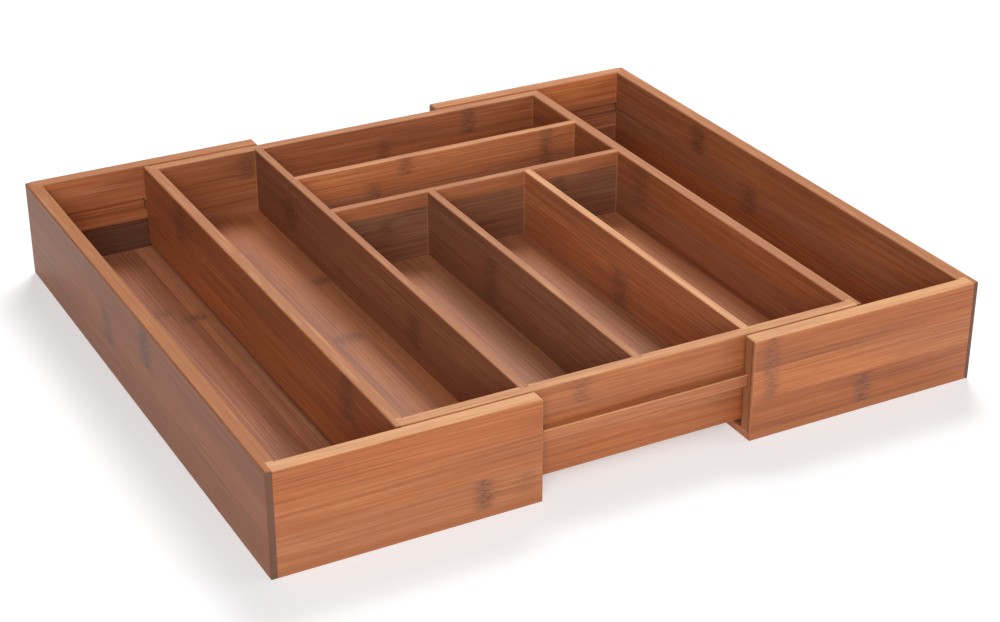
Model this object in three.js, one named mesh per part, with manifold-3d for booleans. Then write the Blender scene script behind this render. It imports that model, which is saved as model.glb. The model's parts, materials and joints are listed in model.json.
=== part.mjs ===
// Expandable cutlery tray of bamboo: a centre tray hangs by its side rails in the grooves of two outer trays.
// Millimetres. X runs along the sliding direction, Y from front to back, Z up from the drawer floor.
// The origin is the middle of the footprint on the drawer floor, with the outer trays half pulled out.

import * as THREE from 'three';
import { mergeVertices } from 'three/addons/utils/BufferGeometryUtils.js';
import Module from 'manifold-3d';

const wasm = await Module();
wasm.setup();

// Whole tray
const trayDepth = 430;
const trayHeight = 68;
const pullOut = 70.5; // how far each outer tray is pulled out from its closed place
const closedGap = 1; // left between the two outer trays when they are closed

// Outer trays
const outerLength = 168;
const outerWall = 10;
const outerPanel = 5.5;
const outerLap = 4; // lip of a side wall that covers the ends of the front and back walls

// Sliding fit
const slideGap = 1.5; // from the centre tray's front to the outer front wall
const endGap = 1; // from the centre tray's side to the outer side wall when closed
const underGap = 4; // from the outer panels up to the centre tray
const topDrop = 0.5; // the centre tray's rim lies this much lower than the outer rims

// Rails and grooves
const grooveFloor = 35;
const grooveHeight = 8.4;
const grooveDepth = 5.2;
const railHeight = 7.6;
const railPlay = 0.4; // from the groove's floor to the rail
const railEndPlay = 1.2; // from the rail's edge to the groove's back

// Centre tray
const centreWall = 8.5;
const centreLap = 3.5;
const centrePanel = 5;
const panelRise = 6; // from the centre walls' feet up to the panel in their grooves
const divider = 6;
const wallDado = 3; // how far a divider's end is let into a wall
const dividerDado = 1.5; // how far a divider's end is let into another divider
const leftBayWidth = 72;
const rearBayDepth = 57;
const secondBayDepth = 55;
const shortBays = 3;

// Softened edges
const rimRound = 1.3; // along the top edges of the walls
const dividerRound = 1;
const railRound = 0.8;
const cornerRound = 2.2; // upright outer corners
const freeEndRound = 2.4; // top corners of the outer walls' ends
const freeEdgeRound = 1.2; // upright edges of a wall's free end
const footRound = 0.9; // bottom edges

// Drawing
const arcSteps = 4;
const overrun = 2; // how far a cut runs past the solid

const closedHalf = outerLength + closedGap / 2;
const overallWidth = 2 * (closedHalf + pullOut);
const centreWidth = 2 * (closedHalf - outerWall - endGap);
const centreDepth = trayDepth - 2 * (outerWall + slideGap);
const centreFloor = outerPanel + underGap;
const centreTop = trayHeight - topDrop;
const panelFloor = centreFloor + panelRise;
const panelTop = panelFloor + centrePanel;
const railReach = slideGap + grooveDepth - railEndPlay;
const railFloor = grooveFloor + railPlay;

const innerHalfX = centreWidth / 2 - centreWall;
const innerHalfY = centreDepth / 2 - centreWall;
const longLeft = leftBayWidth - innerHalfX;
const longRight = longLeft + divider;
const rearCrossBack = innerHalfY - rearBayDepth;
const rearCrossFront = rearCrossBack - divider;
const frontCrossBack = rearCrossFront - secondBayDepth;
const frontCrossFront = frontCrossBack - divider;
const shortBayWidth = (innerHalfX - longRight - (shortBays - 1) * divider) / shortBays;

// An outline through corners given as [across, up, radius], with each corner rounded by its radius
function outline(corners) {
  const shape = new THREE.Shape();
  const count = corners.length;
  corners.forEach(([x, y, radius = 0], index) => {
    const corner = new THREE.Vector2(x, y);
    const [beforeX, beforeY] = corners[(index + count - 1) % count];
    const [afterX, afterY] = corners[(index + 1) % count];
    const towardsBefore = new THREE.Vector2(beforeX, beforeY).sub(corner).setLength(radius);
    const towardsAfter = new THREE.Vector2(afterX, afterY).sub(corner).setLength(radius);
    const entry = corner.clone().add(towardsBefore);
    const exit = corner.clone().add(towardsAfter);
    if (index === 0) {
      shape.moveTo(entry.x, entry.y);
    } else {
      shape.lineTo(entry.x, entry.y);
    }
    if (radius > 0) {
      const centre = entry.clone().add(towardsAfter);
      const startAngle = Math.atan2(entry.y - centre.y, entry.x - centre.x);
      const endAngle = Math.atan2(exit.y - centre.y, exit.x - centre.x);
      const clockwise = towardsBefore.cross(towardsAfter) > 0;
      shape.absarc(centre.x, centre.y, radius, startAngle, endAngle, clockwise);
    }
  });
  shape.closePath();
  return shape;
}

// A rectangle's corners, with one radius for each of the corners low-left, low-right, high-right and high-left
function rectangle(left, low, right, high, radii = [0, 0, 0, 0]) {
  return [
    [left, low, radii[0]],
    [right, low, radii[1]],
    [right, high, radii[2]],
    [left, high, radii[3]],
  ];
}

function extrude(corners, length) {
  const settings = { depth: length, bevelEnabled: false, curveSegments: arcSteps };
  return new THREE.ExtrudeGeometry(outline(corners), settings);
}

// Plan outline, corners as [x, y], from low to high
function uprightPrism(corners, low, high) {
  const geometry = extrude(corners, high - low);
  geometry.translate(0, 0, low);
  return toSolid(geometry);
}

// Section across X, corners as [y, z], from left to right
function prismAlongX(corners, left, right) {
  const geometry = extrude(corners, right - left);
  const turn = new THREE.Matrix4().makeBasis(
    new THREE.Vector3(0, 1, 0),
    new THREE.Vector3(0, 0, 1),
    new THREE.Vector3(1, 0, 0),
  );
  geometry.applyMatrix4(turn);
  geometry.translate(left, 0, 0);
  return toSolid(geometry);
}

// Section across Y, corners as [x, z], from front to back
function prismAlongY(corners, front, back) {
  const geometry = extrude(corners, back - front);
  geometry.rotateX(Math.PI / 2);
  geometry.translate(0, back, 0);
  return toSolid(geometry);
}

function block(left, right, front, back, low, high) {
  return uprightPrism(rectangle(left, front, right, back), low, high);
}

function toSolid(geometry) {
  geometry.deleteAttribute('normal');
  geometry.deleteAttribute('uv');
  const merged = mergeVertices(geometry);
  const mesh = new wasm.Mesh({
    numProp: 3,
    vertProperties: new Float32Array(merged.attributes.position.array),
    triVerts: new Uint32Array(merged.index.array),
  });
  return new wasm.Manifold(mesh);
}

function joined(...solids) {
  return solids.reduce((whole, next) => whole.add(next));
}

function common(...solids) {
  return solids.reduce((whole, next) => whole.intersect(next));
}

function without(solid, cuts) {
  return cuts.reduce((whole, cut) => whole.subtract(cut), solid);
}

function wood(color, roughness) {
  return new THREE.MeshStandardMaterial({ color, roughness, metalness: 0 });
}

function piece(name, solid, material) {
  const { vertProperties, triVerts } = solid.getMesh();
  const geometry = new THREE.BufferGeometry();
  geometry.setAttribute('position', new THREE.BufferAttribute(new Float32Array(vertProperties), 3));
  geometry.setIndex(new THREE.BufferAttribute(new Uint32Array(triVerts), 1));
  geometry.computeVertexNormals();
  const mesh = new THREE.Mesh(geometry, material);
  mesh.name = name;
  return mesh;
}

// Outer tray: its side wall's outer face is at x = 0 and its free ends are at x = outerLength
function outerSideWall() {
  const front = -trayDepth / 2;
  const back = trayDepth / 2;
  const plan = [
    [0, front, cornerRound],
    [outerLap, front],
    [outerLap, front + outerWall],
    [outerWall, front + outerWall],
    [outerWall, back - outerWall],
    [outerLap, back - outerWall],
    [outerLap, back],
    [0, back, cornerRound],
  ];
  const section = [
    [0, 0, footRound],
    [outerLap, 0],
    [outerLap, outerPanel],
    [outerWall, outerPanel],
    [outerWall, trayHeight, rimRound],
    [0, trayHeight, rimRound],
  ];
  const side = rectangle(front, 0, back, trayHeight, [footRound, footRound, freeEndRound, freeEndRound]);
  return common(
    uprightPrism(plan, 0, trayHeight),
    prismAlongY(section, front, back),
    prismAlongX(side, 0, outerWall),
  );
}

// Its rim's inner edge is left square where the side wall meets it, so the two rims join flush
function outerFrontWall() {
  const front = -trayDepth / 2;
  const back = front + outerWall;
  const seat = outerWall - rimRound;
  const section = (innerRound) => [
    [front, outerPanel],
    [back, outerPanel],
    [back, grooveFloor],
    [back - grooveDepth, grooveFloor],
    [back - grooveDepth, grooveFloor + grooveHeight],
    [back, grooveFloor + grooveHeight],
    [back, trayHeight, innerRound],
    [front, trayHeight, rimRound],
  ];
  const board = joined(
    prismAlongX(section(0), outerLap, seat),
    prismAlongX(section(rimRound), seat, outerLength),
  );
  const face = rectangle(outerLap, outerPanel, outerLength, trayHeight, [0, 0, freeEndRound, 0]);
  const plan = rectangle(outerLap, front, outerLength, back, [0, freeEdgeRound, freeEdgeRound, 0]);
  return common(board, prismAlongY(face, front, back), uprightPrism(plan, outerPanel, trayHeight));
}

function outerBottomPanel() {
  const front = -trayDepth / 2;
  const back = trayDepth / 2;
  const plan = rectangle(outerLap, front, outerLength, back, [0, freeEdgeRound, freeEdgeRound, 0]);
  const section = rectangle(front, 0, back, outerPanel, [footRound, footRound, 0, 0]);
  const face = rectangle(outerLap, 0, outerLength, outerPanel, [0, footRound, 0, 0]);
  return common(
    uprightPrism(plan, 0, outerPanel),
    prismAlongX(section, outerLap, outerLength),
    prismAlongY(face, front, back),
  );
}

// The wall opposite an end wall is the same board turned about the middle of the tray's depth
function mirroredInDepth(solid) {
  return solid.mirror([0, 1, 0]);
}

function outerTray(side, frontName, backName) {
  const tray = new THREE.Group();
  const rimWood = wood(0xc08358, 0.5);
  tray.add(
    piece(`${side}_tray_side_wall`, outerSideWall(), wood(0xa5745a, 0.52)),
    piece(`${side}_tray_${frontName}_wall`, outerFrontWall(), rimWood),
    piece(`${side}_tray_${backName}_wall`, mirroredInDepth(outerFrontWall()), wood(0xb87a50, 0.5)),
    piece(`${side}_tray_bottom_panel`, outerBottomPanel(), wood(0x9c6748, 0.55)),
  );
  return tray;
}

// Centre tray: the left side wall, with the front and back walls in its rebates and the panel in its groove
function centreSideWall() {
  const left = -centreWidth / 2;
  const right = left + centreWall;
  const front = -centreDepth / 2;
  const back = centreDepth / 2;
  const lap = left + centreLap;
  const plan = [
    [left, front, rimRound],
    [lap, front],
    [lap, front + centreWall],
    [right, front + centreWall],
    [right, back - centreWall],
    [lap, back - centreWall],
    [lap, back],
    [left, back, rimRound],
  ];
  const section = [
    [left, centreFloor, footRound],
    [right, centreFloor],
    [right, panelFloor],
    [lap, panelFloor],
    [lap, panelTop],
    [right, panelTop],
    [right, centreTop, rimRound],
    [left, centreTop, rimRound],
  ];
  return common(
    uprightPrism(plan, centreFloor, centreTop),
    prismAlongY(section, front, back),
  );
}

// Square at the rim's inner edge where the side walls meet it, as the outer front wall is
function centreFrontWall() {
  const front = -centreDepth / 2;
  const back = front + centreWall;
  const half = centreWidth / 2 - centreLap;
  const seat = innerHalfX + rimRound;
  const lap = front + centreLap;
  const section = (innerRound) => [
    [front, centreFloor, footRound],
    [back, centreFloor],
    [back, panelFloor],
    [lap, panelFloor],
    [lap, panelTop],
    [back, panelTop],
    [back, centreTop, innerRound],
    [front, centreTop, rimRound],
  ];
  return joined(
    prismAlongX(section(0), -half, -seat),
    prismAlongX(section(rimRound), -seat, seat),
    prismAlongX(section(0), seat, half),
  );
}

function centreRail() {
  const back = -centreDepth / 2;
  const front = back - railReach;
  const section = rectangle(front, railFloor, back, railFloor + railHeight, [railRound, 0, 0, railRound]);
  return prismAlongX(section, -centreWidth / 2, centreWidth / 2);
}

function centreBottomPanel() {
  const halfX = centreWidth / 2 - centreLap;
  const halfY = centreDepth / 2 - centreLap;
  return block(-halfX, halfX, -halfY, halfY, panelFloor, panelTop);
}

// A divider from front to back, between two X planes. In the end walls' slots its top is square
function lengthwiseDivider(left, front, back) {
  const right = left + divider;
  const seat = innerHalfY + rimRound;
  const section = (round) => rectangle(left, panelTop, right, centreTop, [0, 0, round, round]);
  const inTheBay = block(left, right, -seat, seat, panelTop, centreTop);
  return joined(
    prismAlongY(section(dividerRound), front, back),
    prismAlongY(section(0), front, back).subtract(inTheBay),
  );
}

// A divider from side to side, between two Y planes. In the side wall's slot its top is square
function crosswiseDivider(front, left, right) {
  const back = front + divider;
  const seat = innerHalfX + rimRound;
  const section = (round) => rectangle(front, panelTop, back, centreTop, [0, 0, round, round]);
  return joined(
    prismAlongX(section(dividerRound), left, right),
    prismAlongX(section(0), seat, right),
  );
}

// The slot that holds a divider's end, open at the top
function slot(left, right, front, back) {
  return block(left, right, front, back, panelTop, centreTop + overrun);
}

function centreTray() {
  const tray = new THREE.Group();
  const longEnd = innerHalfY + wallDado;
  const crossLeft = longRight - dividerDado;
  const crossRight = innerHalfX + wallDado;
  const shortBack = frontCrossFront + dividerDado;
  const crossFronts = [rearCrossFront, frontCrossFront];
  const shortLefts = [];
  for (let index = 1; index < shortBays; index += 1) {
    shortLefts.push(longRight + index * shortBayWidth + (index - 1) * divider);
  }

  const longSlotBack = slot(longLeft, longRight, innerHalfY, longEnd);
  const longSlotFront = slot(longLeft, longRight, -longEnd, -innerHalfY);
  const crossSlots = (left, right) => crossFronts.map((front) => slot(left, right, front, front + divider));
  const shortSlots = (front, back) => shortLefts.map((left) => slot(left, left + divider, front, back));

  const rightWall = without(centreSideWall().mirror([1, 0, 0]), crossSlots(innerHalfX, crossRight));
  const frontWall = without(centreFrontWall(), [longSlotFront, ...shortSlots(-longEnd, -innerHalfY)]);
  const backWall = without(mirroredInDepth(centreFrontWall()), [longSlotBack]);
  const longDivider = without(
    lengthwiseDivider(longLeft, -longEnd, longEnd),
    crossSlots(crossLeft, longRight),
  );
  const rearCross = crosswiseDivider(rearCrossFront, crossLeft, crossRight);
  const frontCross = without(
    crosswiseDivider(frontCrossFront, crossLeft, crossRight),
    shortSlots(frontCrossFront, shortBack),
  );
  const rail = centreRail();

  tray.add(
    piece('centre_left_wall', centreSideWall(), wood(0x9c6247, 0.5)),
    piece('centre_right_wall', rightWall, wood(0x9a5f44, 0.5)),
    piece('centre_front_wall', frontWall, wood(0xb97a50, 0.5)),
    piece('centre_back_wall', backWall, wood(0xa3694a, 0.5)),
    piece('centre_front_rail', rail, wood(0xc68a5e, 0.48)),
    piece('centre_back_rail', mirroredInDepth(rail), wood(0xc68a5e, 0.48)),
    piece('centre_bottom_panel', centreBottomPanel(), wood(0x94604a, 0.55)),
    piece('long_divider', longDivider, wood(0x8f583f, 0.5)),
    piece('rear_cross_divider', rearCross, wood(0xab6f4c, 0.5)),
    piece('front_cross_divider', frontCross, wood(0xa86b49, 0.5)),
  );
  const shortNames = ['left_short_divider', 'right_short_divider'];
  shortLefts.forEach((left, index) => {
    const shortDivider = lengthwiseDivider(left, -longEnd, shortBack);
    tray.add(piece(shortNames[index], shortDivider, wood(0x95593f, 0.5)));
  });
  return tray;
}

const cutleryTray = new THREE.Group();
cutleryTray.add(centreTray());

const leftTray = outerTray('left', 'front', 'back');
leftTray.position.x = -overallWidth / 2;
cutleryTray.add(leftTray);

// Turned half a circle, so its own front wall is the one at the back
const rightTray = outerTray('right', 'back', 'front');
rightTray.position.x = overallWidth / 2;
rightTray.rotation.z = Math.PI;
cutleryTray.add(rightTray);

export default cutleryTray;
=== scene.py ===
"""Bamboo expandable cutlery tray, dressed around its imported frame.

Metres, Z up, X along the sliding direction.
"""

import json
import math
from collections import namedtuple

import bmesh
import bpy
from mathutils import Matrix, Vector
from mathutils.bvhtree import BVHTree


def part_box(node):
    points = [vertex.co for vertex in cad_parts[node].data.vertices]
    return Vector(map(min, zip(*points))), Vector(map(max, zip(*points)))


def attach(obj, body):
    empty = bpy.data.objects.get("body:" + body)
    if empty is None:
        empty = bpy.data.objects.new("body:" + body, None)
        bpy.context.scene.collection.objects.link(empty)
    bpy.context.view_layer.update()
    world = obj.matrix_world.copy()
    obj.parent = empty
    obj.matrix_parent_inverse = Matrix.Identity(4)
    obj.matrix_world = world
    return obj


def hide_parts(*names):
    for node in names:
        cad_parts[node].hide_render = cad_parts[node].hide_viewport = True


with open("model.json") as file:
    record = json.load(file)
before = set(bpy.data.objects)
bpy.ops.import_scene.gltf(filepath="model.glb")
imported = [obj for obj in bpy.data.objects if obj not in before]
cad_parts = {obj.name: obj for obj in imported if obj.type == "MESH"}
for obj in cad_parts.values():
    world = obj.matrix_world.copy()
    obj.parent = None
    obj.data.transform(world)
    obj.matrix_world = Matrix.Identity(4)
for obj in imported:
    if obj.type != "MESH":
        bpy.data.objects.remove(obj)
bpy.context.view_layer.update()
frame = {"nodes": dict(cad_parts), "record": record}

MM = 0.001

# Middle of a value that runs from 0 to 1
MIDDLE = 0.5

# Camera
IMAGE_WIDTH = 1000
SENSOR_WIDTH = 36.0
FOCAL_PIXELS = 2083.9
CAMERA_PLACE = Vector((-0.57099, -1.09562, 0.64357))
CAMERA_AZIMUTH = math.radians(-28.19)
CAMERA_ELEVATION = math.radians(27.215)
CLIP_START = 0.05
CLIP_END = 60

# Paper floor
FLOOR_HALF = 12.0
FLOOR_DROP = 0.2 * MM
PAPER = {
    "Base Color": (0.66, 0.66, 0.66, 1),
    "Roughness": 0.8,
    "Specular IOR Level": 0.2,
    "Emission Color": (1, 1, 1, 1),
    "Emission Strength": 0.42,
}

# Studio light, with azimuths counted from +X towards +Y, in degrees, metres and watts
SURROUND = {"Color": (0.9, 0.95, 1, 1), "Strength": 0.1}
LIGHT_DISTANCE = 2.2
SOFTBOXES = {
    "key_softbox": {"azimuth": 58, "elevation": 53, "size": 1.0, "power": 44},
    "front_fill": {"azimuth": -120, "elevation": 26, "size": 1.2, "power": 28},
    "high_fill": {"azimuth": -110, "elevation": 66, "size": 1.0, "power": 4},
    "right_fill": {"azimuth": -30, "elevation": 12, "size": 1.1, "power": 18},
}

# Board edges
EDGE_BEVEL = 0.35 * MM
RAIL_BEVEL = 0.6 * MM
BEVEL_STEPS = 2
SHARP_ANGLE = math.radians(50)
FLAT_ANGLE = math.radians(0.5)
WELD_DISTANCE = 0.001 * MM
SEAM_DISTANCE = 0.05 * MM
RIM_DEPTH = 2 * MM

# Wear of rounded corners, from 0 to 1. A face is rounded where no part of its normal reaches SQUARE_FACE
ROUNDED_WEAR = 0.4
SQUARE_FACE = 0.97

# How far a rail's eased edge looks up where it gets the worn-edge colour, as a painted highlight along the
# rail's top edge
RAIL_HIGHLIGHT_FACE = 0.1

# Strips that a board is glued up from
WALL_STRIP = 20.8 * MM
FLOOR_STRIP = 22.0 * MM
WALL_STRIP_START = 5.5 * MM
STRIP_STARTS = {"front_cross_divider": 15.5 * MM}
STRIP_RIPPLE = 1.2 * MM
STRIP_RIPPLE_SCALE = 22.0
STRIP_SLANT = 0.02
CANE_LENGTH = 7.0
GLUE_REACH = (0.1 * MM, 0.45 * MM)

# Plies of a board, seen at its cut ends and on its rim
OUTER_WALL_PLY = 2.2 * MM
PLY_OFFSET = 0.8 * MM
PLY_REACH = (0.25 * MM, 0.65 * MM)

# Noise scales per metre, along the cane and across it where there are two
STREAK_SCALES = (7.0, 520.0)
FIBRE_SCALES = (12.0, 850.0)
PORE_SCALES = (90.0, 2600.0)
PATCH_SCALES = (6.0, 30.0)
BEND_SCALES = (120.0, 90.0)
FLECK_SCALES = (260.0, 1500.0)
BLOTCH_SCALES = (26.0, 260.0)
DRIFT_SCALE = 6.0
NODE_WANDER_SCALE = 130.0
END_DOT_SCALE = 1500.0
END_PLY_SCALE = 700.0

# How far fibres and cane nodes stray
DRIFT = 2.5 * MM
BEND = 9.0 * MM
NODE_WANDER = 6.0 * MM

# Values of a noise between which a feature fades in
PORE_RANGE = (0.57, 0.70)
FLECK_RANGE = (0.48, 0.6)
RIM_LINE_RANGE = (0.35, 0.6)

# Which random draw each strip's slant, piece of cane, tone and hue come from
SLANT_DRAW = 8.0
CANE_DRAW = 13.0
TONE_DRAW = 3.0
HUE_DRAW = 21.0

# Seeds of the boards, in the alphabetical order of their nodes
FIRST_SEED = 1.7
SEED_STEP = 3.1

# Cane nodes: distances over which their parts fade out
NODE_SOFT_END = 0.7 * MM
CORE_REACH = (0.5 * MM, 9.0 * MM)
BAND_REACH = (0.6 * MM, 7.0 * MM)
HALO_REACH = (2.0 * MM, 13.0 * MM)

# Stained bamboo, in linear light
GROUND = (0.40, 0.134, 0.047)
DARK = (0.20, 0.055, 0.021)
LIGHT = (0.58, 0.24, 0.098)
RIM = (0.76, 0.385, 0.18)
RIM_DEEP = (0.44, 0.172, 0.07)
END_GRAIN = (0.14, 0.07, 0.045)
MARK_HALO = (0.20, 0.085, 0.05)
MARK_CORE = (0.09, 0.036, 0.02)
DULL_TINT = (0.85, 1.0, 1.38)
WARM_TINT = (1.10, 0.97, 0.82)

# Ground colour, where a lightness of 0 is DARK, 0.5 is GROUND and 1 is LIGHT
STREAK_CONTRAST = 0.55
FIBRE_CONTRAST = 1.25
TONE_CONTRAST = 0.25
PATCH_CONTRAST = 0.4
PATCH_HUE = 1.6
HUE_CONTRAST = 0.55
PORE_SHARE = 0.3
GLUE_SHARE = 0.22

# Strips that stand out, cane nodes and corner glue over the ground colour
STAND_OUT_EDGE = 0.2 * MM
HALO_SHARE = 0.2
BAND_SHARE = 0.35
CORE_SHARE = 0.7
CORNER_REACH = (0.2 * MM, 0.9 * MM)
CORNER_SHARE = 0.24

# Cut ends, by how far a face turns towards the grain
CUT_END_TURN = (0.2, 0.5)
END_PLY_CONTRAST = 0.9
END_DOT_CONTRAST = 0.7
END_PLY_SHARE = 0.75

# Sanded rims and worn edges
RIM_TURN = 0.3
RIM_SHARE = 0.85
RIM_FIBRE_CONTRAST = 1.1
BLOTCH_CONTRAST = 1.5
RIM_LINE_SHARE = 0.3
CUT_END_WEAR = -0.4

# Lacquer, and the relief under it
COAT = {"Coat Weight": 0.03, "Coat Roughness": 0.3}
FIBRE_ROUGHNESS = 0.14
SANDED_ROUGHNESS = 0.25
RELIEF = {"Strength": 0.3, "Distance": 0.12 * MM}
FIBRE_RELIEF = 0.7
PORE_RELIEF = -0.3
GLUE_RELIEF = -0.3
CORE_RELIEF = -0.6

# Finish of a plain crosswise wall, and what differs on other kinds of board
PLAIN_FINISH = {
    "roughness": 0.38,
    "gloss": 0.32,
    "fineness": 1.0,
    "mark_width": 1.0,
    "rim_start": 0.4,
    "edge_wear_and_highlight": 0.45,
    "end_light": 0.7,
}
FLOOR_FINISH = {"roughness": 0.48, "fineness": 1.6, "end_light": 0.85}
LENGTHWISE_FINISH = {"mark_width": 1.8, "end_light": 0.0}
OUTER_SIDE_FINISH = {"gloss": 0.2, "rim_start": 0.65}
# A rail's top edge is lightened hard with the worn-edge colour, as a painted highlight
RAIL_HIGHLIGHT_FINISH = {"edge_wear_and_highlight": 1.4}

# How light each board's stain came out, how warm (above zero) or grey (below), and how golden its rim is.
# The left tray's floor is set lighter than its stain, as painted light
LOOKS = {
    "rear_cross_divider": (1.2, 0.0, 0.3),
    "front_cross_divider": (1.05, -0.25, 0.0),
    "long_divider": (0.84, -0.4, -0.1),
    "left_short_divider": (0.83, -0.7, 0.0),
    "right_short_divider": (1.32, 0.0, 0.8),
    "centre_left_wall": (1.08, 0.2, 0.0),
    "centre_right_wall": (0.87, 0.0, -0.1),
    "centre_back_wall": (1.0, 0.0, 0.1),
    "right_tray_back_wall": (1.3, 0.0, 0.2),
    "right_tray_side_wall": (0.97, -0.05, 0.0),
    "left_tray_back_wall": (1.12, -0.05, -0.1),
    "left_tray_side_wall": (0.64, 0.6, -0.12),
    # The left tray's floor: its stain, made lighter still as painted light for the light that falls on it
    "left_tray_bottom_panel": (1.58, -0.45, 0.0),
    "right_tray_bottom_panel": (1.15, -0.1, 0.0),
    "centre_bottom_panel": (1.14, -0.3, 0.0),
    "left_tray_front_wall": (0.91, 0.35, 0.9),
    "right_tray_front_wall": (0.9, 0.4, 0.9),
    "centre_front_wall": (0.9, 0.45, 0.6),
    "centre_front_rail": (1.0, 0.0, 0.9),
    "centre_back_rail": (1.0, 0.0, 0.9),
}

# Strips that stand out from their board, and at the foot of the back walls a darker strip with painted
# shade laid over it: (low and high edge, tint), in millimetres
DUSKY = (0.72, 0.84, 0.95)
MURKY = (0.66, 0.67, 0.76)
# The next two tints are a darker strip with painted shade over it, for the foot of a back wall that lies in
# the shade of its bay
DARK_STRIP_AND_PAINTED_SHADE = (0.6, 0.6, 0.68)
DARKEST_STRIP_AND_PAINTED_SHADE = (0.36, 0.40, 0.52)
RUDDY = (1.15, 1.0, 0.85)
BANDS = {
    "front_cross_divider": [(15.5, 36.3, MURKY), (36.3, 57.1, DUSKY)],
    # The foot of each back wall: a darker strip with painted shade laid over it
    "left_tray_back_wall": [(5, 28, DARKEST_STRIP_AND_PAINTED_SHADE), (47, 68, RUDDY)],
    "right_tray_back_wall": [(5, 24, DARK_STRIP_AND_PAINTED_SHADE)],
}

# Cane nodes that show: (place along the grain, low and high end across it, strength), in millimetres
MARKS = {
    "left_tray_front_wall": [(-109, 6, 26, 1.0), (-82, 10, 24, 0.35)],
    "right_tray_front_wall": [(84, 26, 68, 0.6), (153, 6, 26, 0.9)],
    "centre_front_wall": [(-40, 51, 67, 0.6)],
    "centre_back_wall": [(94, 47, 68, 1.0), (24, 36, 54, 0.7), (-84, 46, 66, 0.6)],
    "rear_cross_divider": [(11, 54, 68, 0.8), (-13, 33, 54, 0.7), (125, 38, 68, 0.8)],
    "front_cross_divider": [(102, 34, 58, 0.8), (-34, 34, 54, 0.7)],
    "left_tray_side_wall": [(48, 22, 45, 0.8), (-25, 40, 66, 1.0)],
    "right_tray_side_wall": [(89, 43, 64, 0.9), (21, 22, 43, 0.7)],
    "centre_left_wall": [(134, 38, 67, 0.8), (-139, 38, 67, 0.8)],
    "centre_right_wall": [(40, 38, 67, 0.5)],
    "long_divider": [(134, 30, 52, 0.9), (-60, 30, 52, 0.8)],
    "left_short_divider": [(-20, 24, 56, 0.8)],
    "right_short_divider": [(-58, 20, 46, 0.9)],
    "left_tray_bottom_panel": [(101, -192, -178, 0.8), (84, -178, -160, 0.8)],
    "centre_bottom_panel": [
        (68, -90, -77, 0.8),
        (-16, -112, -92, 0.7),
        (-60, 30, 52, 0.6),
        (-100, 96, 118, 0.6),
    ],
}

# A point's or a normal's parts along the grain, across the strips and through the board
Parts = namedtuple("Parts", "along across through")


class Graph:
    """Makes and links the nodes of one material or group."""

    def __init__(self, tree):
        self.tree = tree

    def node(self, kind, **settings):
        made = self.tree.nodes.new(kind)
        for key, value in settings.items():
            setattr(made, key, value)
        return made

    def feed(self, socket, value):
        """Links a socket to the given one, or sets its value where a value is given."""
        if isinstance(value, bpy.types.NodeSocket):
            self.tree.links.new(value, socket)
        elif value is not None:
            if isinstance(value, tuple) and len(value) == 3 and socket.type == "RGBA":
                value = (*value, 1.0)
            socket.default_value = value

    def math(self, operation, first, second=None, third=None, clamp=False):
        made = self.node("ShaderNodeMath", operation=operation, use_clamp=clamp)
        for socket, value in zip(made.inputs, (first, second, third)):
            self.feed(socket, value)
        return made.outputs[0]

    def times(self, first, second):
        return self.math("MULTIPLY", first, second)

    def times_plus(self, first, second, third, clamp=False):
        return self.math("MULTIPLY_ADD", first, second, third, clamp=clamp)

    def minus(self, first, second):
        return self.math("SUBTRACT", first, second)

    def centred(self, value):
        """A value from 0 to 1, moved to lie evenly about zero."""
        return self.minus(value, MIDDLE)

    def distance(self, first, second):
        return self.math("ABSOLUTE", self.minus(first, second))

    def combine(self, x, y, z):
        made = self.node("ShaderNodeCombineXYZ")
        for socket, value in zip(made.inputs, (x, y, z)):
            self.feed(socket, value)
        return made.outputs[0]

    def separate(self, vector):
        made = self.node("ShaderNodeSeparateXYZ")
        self.feed(made.inputs[0], vector)
        return made.outputs

    def noise(self, vector, detail=2.0, roughness=0.5):
        made = self.node("ShaderNodeTexNoise", noise_dimensions="3D")
        self.feed(made.inputs["Vector"], vector)
        made.inputs["Scale"].default_value = 1.0
        made.inputs["Detail"].default_value = detail
        made.inputs["Roughness"].default_value = roughness
        return made.outputs["Fac"]

    def random(self, *places):
        made = self.node("ShaderNodeTexWhiteNoise", noise_dimensions="3D")
        self.feed(made.inputs["Vector"], self.combine(*places))
        return made.outputs["Value"]

    def spread(self, value, low, high, new_low=0.0, new_high=1.0, smooth=False):
        """A value from low to high, spread over new_low to new_high and held there beyond."""
        kind = "SMOOTHSTEP" if smooth else "LINEAR"
        made = self.node("ShaderNodeMapRange", interpolation_type=kind, clamp=True)
        for socket, part in zip(made.inputs, (value, low, high, new_low, new_high)):
            self.feed(socket, part)
        return made.outputs["Result"]

    def mix(self, share, first, second, blend="MIX"):
        made = self.node("ShaderNodeMix", data_type="RGBA", blend_type=blend, clamp_factor=True)
        self.feed(made.inputs["Factor"], share)
        for name, value in (("A", first), ("B", second)):
            socket = next(s for s in made.inputs if s.name == name and s.type == "RGBA")
            self.feed(socket, value)
        return next(s for s in made.outputs if s.type == "RGBA")

    def tinted(self, colour, tint, share=1.0):
        """A colour multiplied by a tint, to the given share."""
        return self.mix(share, colour, tint, blend="MULTIPLY")

    def ramp(self, value, stops):
        made = self.node("ShaderNodeValToRGB")
        self.feed(made.inputs["Fac"], value)
        elements = made.color_ramp.elements
        while len(elements) < len(stops):
            elements.new(MIDDLE)
        for element, (place, colour) in zip(elements, stops):
            element.position = place
            element.color = (*colour, 1.0)
        return made.outputs["Color"]

    def group(self, tree, given):
        """A node group with its named inputs fed, as its outputs."""
        made = self.node("ShaderNodeGroup", node_tree=tree)
        for label, value in given.items():
            self.feed(made.inputs[label], value)
        return made.outputs


def set_inputs(node, values):
    for name, value in values.items():
        node.inputs[name].default_value = value


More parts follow.
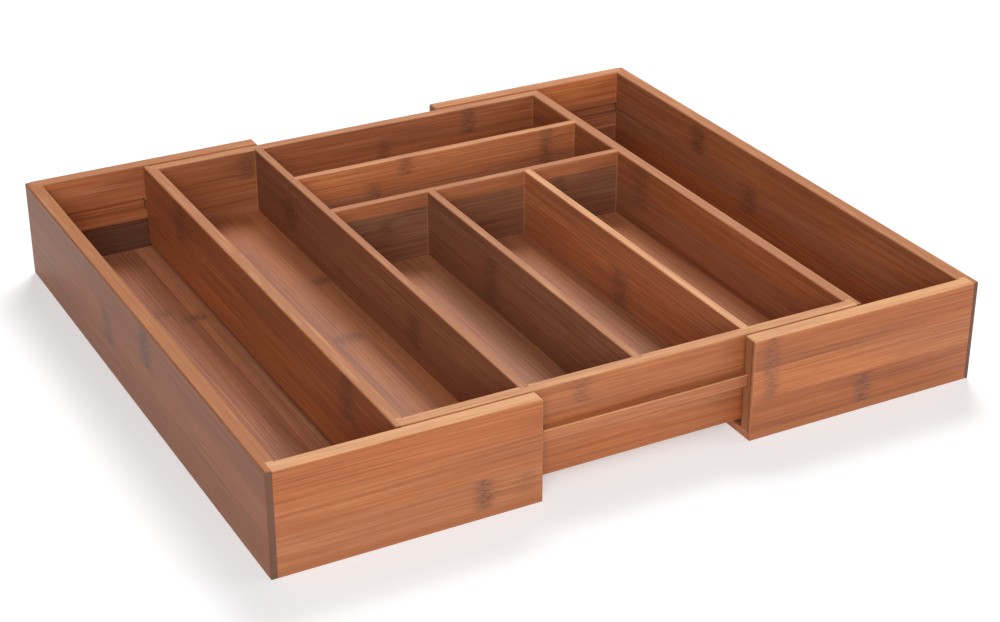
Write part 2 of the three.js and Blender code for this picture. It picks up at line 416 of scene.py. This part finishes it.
def group_with(name, inputs, outputs):
    """An empty node group with number sockets, its graph, its input sockets and its output sockets."""
    tree = bpy.data.node_groups.new(name, "ShaderNodeTree")
    for label in inputs:
        tree.interface.new_socket(label, in_out="INPUT", socket_type="NodeSocketFloat")
    for label in outputs:
        tree.interface.new_socket(label, in_out="OUTPUT", socket_type="NodeSocketFloat")
    graph = Graph(tree)
    return tree, graph, graph.node("NodeGroupInput").outputs, graph.node("NodeGroupOutput").inputs


def make_grain_group():
    """Bamboo's fibres, pores and glued strips, from a point's places along, across and through a board."""
    tree, g, given, out = group_with(
        "bamboo_grain",
        ("Along", "Across", "Through", "Seed", "Strip", "Start", "Swirl", "Fineness"),
        ("Streak", "Fibre", "Pore", "Tone", "Hue", "Glue", "Patch"),
    )
    seed = given["Seed"]

    # Strips, each with its own tone and its own piece of cane
    ripple = g.noise(g.combine(g.times(given["Along"], STRIP_RIPPLE_SCALE), 0.0, seed))
    edge_place = g.times_plus(g.centred(ripple), STRIP_RIPPLE, given["Across"])
    strips = g.math("DIVIDE", g.minus(edge_place, given["Start"]), given["Strip"])
    index = g.math("FLOOR", strips)
    share = g.math("FRACT", strips)
    from_glue = g.times(g.math("MINIMUM", share, g.minus(1.0, share)), given["Strip"])
    slant = g.times(g.centred(g.random(index, seed, SLANT_DRAW)), STRIP_SLANT)
    along = g.times_plus(g.random(index, seed, CANE_DRAW), CANE_LENGTH, given["Along"])

    # Fibres follow the cane, which drifts a little and bends round its nodes
    drift = g.noise(g.combine(g.times(along, DRIFT_SCALE), seed, index), detail=1.0)
    across = g.times_plus(g.centred(drift), DRIFT, given["Across"])
    across = g.times_plus(along, slant, across)
    bend_along, bend_across = BEND_SCALES
    bend = g.noise(g.combine(g.times(along, bend_along), g.times(across, bend_across), seed))
    across = g.times_plus(g.times(g.centred(bend), given["Swirl"]), BEND, across)

    def stretched(along_scale, across_scale):
        fine_scale = g.times(given["Fineness"], across_scale)
        return g.combine(
            g.times(along, along_scale),
            g.times(across, fine_scale),
            g.times(given["Through"], fine_scale),
        )

    pore = g.noise(stretched(*PORE_SCALES), detail=1.0)
    g.feed(out["Streak"], g.noise(stretched(*STREAK_SCALES), detail=3.0, roughness=0.6))
    g.feed(out["Fibre"], g.noise(stretched(*FIBRE_SCALES), detail=3.0, roughness=0.65))
    g.feed(out["Pore"], g.spread(pore, *PORE_RANGE))
    g.feed(out["Patch"], g.noise(stretched(*PATCH_SCALES)))
    g.feed(out["Tone"], g.random(index, seed, TONE_DRAW))
    g.feed(out["Hue"], g.random(index, seed, HUE_DRAW))
    g.feed(out["Glue"], g.spread(from_glue, *GLUE_REACH, 1.0, 0.0))
    return tree


def make_mark_group():
    """One node of the cane: dark flecks in a soft band across a strip, with a dull halo."""
    tree, g, given, out = group_with(
        "bamboo_mark",
        ("Along", "Across", "Place", "Low", "High", "Width", "Seed"),
        ("Core", "Band", "Halo"),
    )
    along = given["Along"]
    across = given["Across"]
    low = given["Low"]
    high = given["High"]
    seed = given["Seed"]

    wander = g.noise(g.combine(g.times(across, NODE_WANDER_SCALE), seed, 0.0))
    wander = g.times(g.centred(wander), NODE_WANDER)
    distance = g.distance(g.math("ADD", along, wander), given["Place"])
    distance = g.math("DIVIDE", distance, given["Width"])

    def step_at(edge, before, after):
        start = g.minus(edge, NODE_SOFT_END)
        end = g.math("ADD", edge, NODE_SOFT_END)
        return g.spread(across, start, end, before, after, smooth=True)

    def fading(reach):
        return g.spread(distance, *reach, 1.0, 0.0, smooth=True)

    inside = g.times(step_at(low, 0.0, 1.0), step_at(high, 1.0, 0.0))
    fleck_along, fleck_across = FLECK_SCALES
    flecks = g.noise(g.combine(g.times(along, fleck_along), g.times(across, fleck_across), seed))
    core = g.times(fading(CORE_REACH), g.spread(flecks, *FLECK_RANGE))
    g.feed(out["Core"], g.times(inside, core))
    g.feed(out["Band"], g.times(inside, fading(BAND_REACH)))
    g.feed(out["Halo"], g.times(inside, fading(HALO_REACH)))
    return tree


GRAIN = make_grain_group()
MARK = make_mark_group()


def parts_of(vector, board):
    """A separated vector's parts, in the order in which the board's grain runs."""
    by_axis = dict(zip("XYZ", vector))
    grain_axis = board["grain_axis"]
    strip_axis = board["strip_axis"]
    through_axis = next(axis for axis in "XYZ" if axis not in (grain_axis, strip_axis))
    return Parts(by_axis[grain_axis], by_axis[strip_axis], by_axis[through_axis])


def marked_nodes(g, point, board):
    """The summed flecks, bands and halos of a board's cane nodes."""
    totals = {"Core": 0.0, "Band": 0.0, "Halo": 0.0}
    for place, low, high, strength in board["marks"]:
        mark = g.group(MARK, {
            "Along": point.along,
            "Across": point.across,
            "Place": place,
            "Low": low,
            "High": high,
            "Width": board["mark_width"],
            "Seed": board["seed"],
        })
        for label in totals:
            totals[label] = g.times_plus(mark[label], strength, totals[label])
    return totals


def ground_colour(g, grain, board):
    """Streaks, fibres, pores and glue lines, with a tone and a hue of its own for each strip."""
    lightness = g.times_plus(g.centred(grain["Streak"]), STREAK_CONTRAST, MIDDLE)
    lightness = g.times_plus(g.centred(grain["Fibre"]), FIBRE_CONTRAST, lightness)
    lightness = g.times_plus(g.centred(grain["Tone"]), TONE_CONTRAST, lightness)
    lightness = g.times_plus(g.centred(grain["Patch"]), PATCH_CONTRAST, lightness, clamp=True)
    colour = g.ramp(lightness, [(0.0, DARK), (MIDDLE, GROUND), (1.0, LIGHT)])
    hue = g.times_plus(g.centred(grain["Patch"]), PATCH_HUE, grain["Hue"])
    hue = g.times_plus(g.centred(hue), HUE_CONTRAST, MIDDLE + board["warmth"], clamp=True)
    colour = g.mix(hue, g.tinted(colour, DULL_TINT), g.tinted(colour, WARM_TINT))
    colour = g.mix(g.times(grain["Pore"], PORE_SHARE), colour, DARK)
    return g.mix(g.times(grain["Glue"], GLUE_SHARE), colour, DARK)


def face_colour(g, colour, point, marks, board):
    """The ground colour with the strips that stand out and the painted shade at the foot of the back walls,
    the cane nodes, and the board's own shade, which holds painted light in the left tray's floor.
    """
    for low, high, tint in board["bands"]:
        above = g.spread(point.across, low - STAND_OUT_EDGE, low + STAND_OUT_EDGE)
        below = g.spread(point.across, high - STAND_OUT_EDGE, high + STAND_OUT_EDGE, 1.0, 0.0)
        colour = g.tinted(colour, tint, g.times(above, below))
    colour = g.mix(g.times(marks["Halo"], HALO_SHARE), colour, MARK_HALO)
    colour = g.mix(g.times(marks["Band"], BAND_SHARE), colour, MARK_HALO)
    colour = g.mix(g.times(marks["Core"], CORE_SHARE), colour, MARK_CORE)
    shade = board["shade"]
    return g.tinted(colour, (shade, shade, shade))


def with_corner_glue(g, colour, point, board):
    """A pale line of glue where another board meets this one's face."""
    for place, side in board["corners"]:
        line = g.spread(g.distance(point.along, place), *CORNER_REACH, CORNER_SHARE, 0.0)
        from_middle = g.times(g.minus(point.through, board["middle"]), side)
        colour = g.mix(g.times(line, g.spread(from_middle, 0.0, MM)), colour, RIM)
    return colour


def end_colour(g, point, ply_line, board):
    """A cut end, with the board's plies and the dots of its fibres."""
    dots = g.noise(g.combine(
        g.times(point.across, END_DOT_SCALE),
        g.times(point.through, END_DOT_SCALE),
        board["seed"],
    ))
    plies = g.noise(g.combine(g.times(point.through, END_PLY_SCALE), board["seed"], 0.0))
    dots = g.times_plus(dots, END_DOT_CONTRAST, -(END_PLY_CONTRAST + END_DOT_CONTRAST) / 2)
    light = g.times_plus(plies, END_PLY_CONTRAST, dots)
    light = g.math("ADD", light, board["end_light"], clamp=True)
    colour = g.mix(light, END_GRAIN, GROUND)
    return g.mix(g.times(ply_line, END_PLY_SHARE), colour, MARK_CORE)


def rim_colour(g, grain, point, ply_line, board):
    """A sanded rim, blotchy, with the glue line between two plies."""
    blotch_along, blotch_through = BLOTCH_SCALES
    blotch = g.noise(g.combine(
        g.times(point.along, blotch_along),
        g.times(point.through, blotch_through),
        board["seed"],
    ))
    light = g.times_plus(blotch, BLOTCH_CONTRAST, -BLOTCH_CONTRAST / 2)
    light = g.times_plus(g.centred(grain["Fibre"]), RIM_FIBRE_CONTRAST, light)
    light = g.math("ADD", light, board["rim_light"], clamp=True)
    line = g.times(ply_line, g.spread(blotch, *RIM_LINE_RANGE))
    return g.mix(g.times(line, RIM_LINE_SHARE), g.mix(light, RIM_DEEP, RIM), DARK)


def relief_of(g, grain, marks):
    """The normal of a face with its fibres raised, and its pores, glue lines and flecks sunk in."""
    height = g.times_plus(grain["Fibre"], FIBRE_RELIEF, grain["Streak"])
    height = g.times_plus(grain["Pore"], PORE_RELIEF, height)
    height = g.times_plus(grain["Glue"], GLUE_RELIEF, height)
    height = g.times_plus(marks["Core"], CORE_RELIEF, height)
    bump = g.node("ShaderNodeBump")
    set_inputs(bump, RELIEF)
    g.feed(bump.inputs["Height"], height)
    return bump.outputs["Normal"]


def bamboo(name, board):
    """A lacquered bamboo board's material, from the board's measures and its look."""
    material = bpy.data.materials.new(name)
    material.use_nodes = True
    material.node_tree.nodes.clear()
    g = Graph(material.node_tree)
    coordinates = g.node("ShaderNodeTexCoord").outputs
    point = parts_of(g.separate(coordinates["Object"]), board)
    normal = g.separate(coordinates["Normal"])
    marks = marked_nodes(g, point, board)
    grain = g.group(GRAIN, {
        "Along": point.along,
        "Across": point.across,
        "Through": point.through,
        "Seed": board["seed"],
        "Strip": board["strip"],
        "Start": board["start"],
        "Swirl": marks["Halo"],
        "Fineness": board["fineness"],
    })

    # Which parts are cut ends, plies, rims and worn edges, and where a rail's top edge gets a painted
    # highlight
    cut_end = g.spread(g.math("ABSOLUTE", parts_of(normal, board).along), *CUT_END_TURN)
    ply_line = g.spread(g.distance(point.through, board["ply"]), *PLY_REACH, 1.0, 0.0)
    upward = g.spread(normal[2], board["rim_start"], board["rim_start"] + RIM_TURN)
    at_rim = g.times(upward, g.node("ShaderNodeAttribute", attribute_name="rim").outputs["Fac"])
    worn_and_highlit_edge = g.node("ShaderNodeAttribute", attribute_name="edge").outputs["Fac"]
    worn_and_highlit_edge = g.times(worn_and_highlit_edge, g.times_plus(cut_end, CUT_END_WEAR, board["edge_wear_and_highlight"]))

    colour = ground_colour(g, grain, board)
    colour = face_colour(g, colour, point, marks, board)
    colour = with_corner_glue(g, colour, point, board)
    colour = g.mix(cut_end, colour, end_colour(g, point, ply_line, board))
    # Rims, worn edges and the painted highlight on a rail's top edge all take the rim colour
    worn = g.math("MAXIMUM", g.times(at_rim, RIM_SHARE), worn_and_highlit_edge)
    colour = g.mix(worn, colour, rim_colour(g, grain, point, ply_line, board))

    roughness = g.times_plus(grain["Fibre"], FIBRE_ROUGHNESS, board["roughness"])
    roughness = g.times_plus(g.math("MAXIMUM", cut_end, at_rim), SANDED_ROUGHNESS, roughness)

    surface = g.node("ShaderNodeBsdfPrincipled")
    set_inputs(surface, COAT)
    surface.inputs["Specular IOR Level"].default_value = board["gloss"]
    g.feed(surface.inputs["Base Color"], colour)
    g.feed(surface.inputs["Roughness"], roughness)
    g.feed(surface.inputs["Normal"], relief_of(g, grain, marks))
    g.feed(g.node("ShaderNodeOutputMaterial").inputs["Surface"], surface.outputs[0])
    return material


def tree_of(node):
    """A CAD board's faces, for finding what lies near them."""
    mesh = frame["nodes"][node].data
    return BVHTree.FromPolygons([v.co for v in mesh.vertices], [tuple(p.vertices) for p in mesh.polygons])


# Each board's body, material slot and faces
BODY_OF = {node: body for body, nodes in frame["record"]["behaviour"]["bodies"].items() for node in nodes}
TREES = {node: tree_of(node) for node in frame["nodes"]}


def is_seam(edge, neighbours):
    """Whether an edge lies all along another board of the same tray, glued and sanded flush."""
    first, last = (v.co for v in edge.verts)
    points = (first, last, (first + last) / 2)
    return any(all(tree.find_nearest(p)[3] < SEAM_DISTANCE for p in points) for tree in neighbours)


def ease_edges(shape, node):
    """Rounds a board's free sharp edges a little, and returns the new faces."""
    neighbours = [TREES[other] for other in TREES if other != node and BODY_OF[other] == BODY_OF[node]]
    sharp = [e for e in shape.edges if e.is_manifold and e.calc_face_angle(0) > SHARP_ANGLE]
    free = [e for e in sharp if not is_seam(e, neighbours)]
    for seam in set(sharp) - set(free):
        seam.smooth = False
    made = bmesh.ops.bevel(
        shape,
        geom=free,
        offset=RAIL_BEVEL if "rail" in node else EDGE_BEVEL,
        offset_type="OFFSET",
        segments=BEVEL_STEPS,
        profile=0.5,
        affect="EDGES",
        clamp_overlap=True,
    )["faces"]
    return {face for face in made if face.is_valid}


def wear_and_highlight_of(face, node, eased):
    """How worn a face is: eased edges most, and rounded corners a little. On a rail only the eased edges on
    its top count, and there they are a painted highlight.
    """
    if face in eased:
        return 0.0 if "rail" in node and face.normal.z < RAIL_HIGHLIGHT_FACE else 1.0
    rounded = max(abs(part) for part in face.normal) < SQUARE_FACE
    return ROUNDED_WEAR if rounded else 0.0


def mark_wear(shape, node, eased):
    """Shades all faces smooth, and writes how worn each one is, with the painted highlight on a rail's top
    edge, and whether it lies at the rim.
    """
    edge = shape.loops.layers.float.new("edge")
    rim = shape.loops.layers.float.new("rim")
    top = max(v.co.z for v in shape.verts)
    has_rim = "panel" not in node and "rail" not in node
    for face in shape.faces:
        face.smooth = True
        edge_wear_and_highlight = wear_and_highlight_of(face, node, eased)
        at_rim = has_rim and max(v.co.z for v in face.verts) > top - RIM_DEPTH
        for loop in face.loops:
            loop[edge] = edge_wear_and_highlight
            loop[rim] = 1.0 if at_rim else 0.0


def softened_board(node):
    """A copy of a CAD board with its free sharp edges eased, and its worn edges and rim marked."""
    shape = bmesh.new()
    shape.from_mesh(frame["nodes"][node].data)
    bmesh.ops.remove_doubles(shape, verts=shape.verts, dist=WELD_DISTANCE)
    bmesh.ops.dissolve_limit(shape, angle_limit=FLAT_ANGLE, verts=shape.verts, edges=shape.edges)
    mark_wear(shape, node, ease_edges(shape, node))
    mesh = bpy.data.meshes.new(node + "_board")
    shape.to_mesh(mesh)
    shape.free()
    board = bpy.data.objects.new(node + "_board", mesh)
    bpy.context.scene.collection.objects.link(board)
    normals = board.modifiers.new("face_weighted", "WEIGHTED_NORMAL")
    normals.keep_sharp = True
    return board


def grain_axis_of(node):
    low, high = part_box(node)
    return "Y" if "panel" in node or high.y - low.y > high.x - low.x else "X"


def touches(node, other):
    low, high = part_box(node)
    other_low, other_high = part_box(other)
    return all(
        other_low[i] < high[i] + SEAM_DISTANCE and other_high[i] > low[i] - SEAM_DISTANCE
        for i in range(3)
    )


def corners_of(node):
    """Where the faces of the boards across this one meet it: places along its grain, each with its side."""
    low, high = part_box(node)
    along = "XYZ".index(grain_axis_of(node))
    through = 1 - along
    places = []
    for other in sorted(TREES):
        if BODY_OF[other] != BODY_OF[node] or "panel" in other or "rail" in other:
            continue
        if grain_axis_of(other) == grain_axis_of(node) or not touches(node, other):
            continue
        other_low, other_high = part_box(other)
        side = 1 if other_low[through] + other_high[through] > low[through] + high[through] else -1
        for place in (other_low[along], other_high[along]):
            if low[along] + MM < place < high[along] - MM:
                places.append((place, side))
    return places


def finish_of(node):
    finish = dict(PLAIN_FINISH)
    if "panel" in node:
        finish.update(FLOOR_FINISH)
    elif grain_axis_of(node) == "Y":
        finish.update(LENGTHWISE_FINISH)
    if "tray_side_wall" in node:
        finish.update(OUTER_SIDE_FINISH)
    if "rail" in node:
        finish.update(RAIL_HIGHLIGHT_FINISH)
    return finish


def ply_of(node):
    """Where the glue line between a board's plies lies. A floor's is put below it, so none shows."""
    low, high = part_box(node)
    if "panel" in node:
        return low.z - MM
    if grain_axis_of(node) == "X" and "tray" in node:
        return low.y + OUTER_WALL_PLY
    middle = (low + high) / 2
    return (middle.x if grain_axis_of(node) == "Y" else middle.y) + PLY_OFFSET


def measures_of(node, seed):
    """How a board's grain runs, how its strips lie, and how it looks."""
    low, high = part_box(node)
    middle = (low + high) / 2
    is_floor = "panel" in node
    shade, warmth, rim_light = LOOKS[node]
    return {
        "seed": seed,
        "grain_axis": grain_axis_of(node),
        "strip_axis": "X" if is_floor else "Z",
        "strip": FLOOR_STRIP if is_floor else WALL_STRIP,
        "start": low.x if is_floor else STRIP_STARTS.get(node, WALL_STRIP_START),
        "ply": ply_of(node),
        "middle": middle.x if grain_axis_of(node) == "Y" else middle.y,
        "corners": [] if is_floor or "rail" in node else corners_of(node),
        "bands": [(bottom * MM, top * MM, tint) for bottom, top, tint in BANDS.get(node, [])],
        "marks": [
            (place * MM, bottom * MM, top * MM, strength)
            for place, bottom, top, strength in MARKS.get(node, [])
        ],
        "shade": shade,
        "warmth": warmth,
        "rim_light": rim_light,
        **finish_of(node),
    }


def dress(node, seed):
    """Stands a softened board with its own bamboo in for a CAD node."""
    board = softened_board(node)
    board.data.materials.append(bamboo(node + "_bamboo", measures_of(node, seed)))
    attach(board, BODY_OF[node])
    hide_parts(node)


def add_camera():
    data = bpy.data.cameras.new("camera")
    data.sensor_width = SENSOR_WIDTH
    data.sensor_fit = "HORIZONTAL"
    data.lens = FOCAL_PIXELS / IMAGE_WIDTH * SENSOR_WIDTH
    data.clip_start = CLIP_START
    data.clip_end = CLIP_END
    camera = bpy.data.objects.new("camera", data)
    bpy.context.scene.collection.objects.link(camera)
    camera.location = CAMERA_PLACE
    camera.rotation_euler = (math.pi / 2 - CAMERA_ELEVATION, 0, CAMERA_AZIMUTH)
    bpy.context.scene.camera = camera


def add_paper():
    corners = [
        (-FLOOR_HALF, -FLOOR_HALF, 0),
        (FLOOR_HALF, -FLOOR_HALF, 0),
        (FLOOR_HALF, FLOOR_HALF, 0),
        (-FLOOR_HALF, FLOOR_HALF, 0),
    ]
    mesh = bpy.data.meshes.new("studio_floor")
    mesh.from_pydata(corners, [], [(0, 1, 2, 3)])
    floor = bpy.data.objects.new("studio_floor", mesh)
    bpy.context.scene.collection.objects.link(floor)
    floor.location.z = -FLOOR_DROP
    paper = bpy.data.materials.new("studio_paper")
    paper.use_nodes = True
    set_inputs(paper.node_tree.nodes["Principled BSDF"], PAPER)
    mesh.materials.append(paper)


def add_surround():
    world = bpy.data.worlds.new("studio_surround")
    world.use_nodes = True
    set_inputs(world.node_tree.nodes["Background"], SURROUND)
    bpy.context.scene.world = world


def add_softbox(name, azimuth, elevation, size, power):
    """A square light that looks at the tray."""
    data = bpy.data.lights.new(name, "AREA")
    data.shape = "SQUARE"
    data.size = size
    data.energy = power
    light = bpy.data.objects.new(name, data)
    bpy.context.scene.collection.objects.link(light)
    turn = math.radians(azimuth)
    rise = math.radians(elevation)
    direction = Vector((math.cos(rise) * math.cos(turn), math.cos(rise) * math.sin(turn), math.sin(rise)))
    light.location = direction * LIGHT_DISTANCE
    light.rotation_euler = direction.to_track_quat("Z", "Y").to_euler()


bpy.context.scene.view_settings.view_transform = "Standard"
bpy.context.scene.view_settings.look = "None"

add_camera()
for number, node in enumerate(sorted(frame["nodes"])):
    dress(node, seed=FIRST_SEED + SEED_STEP * number)
add_paper()
add_surround()
for name, settings in SOFTBOXES.items():
    add_softbox(name, **settings)
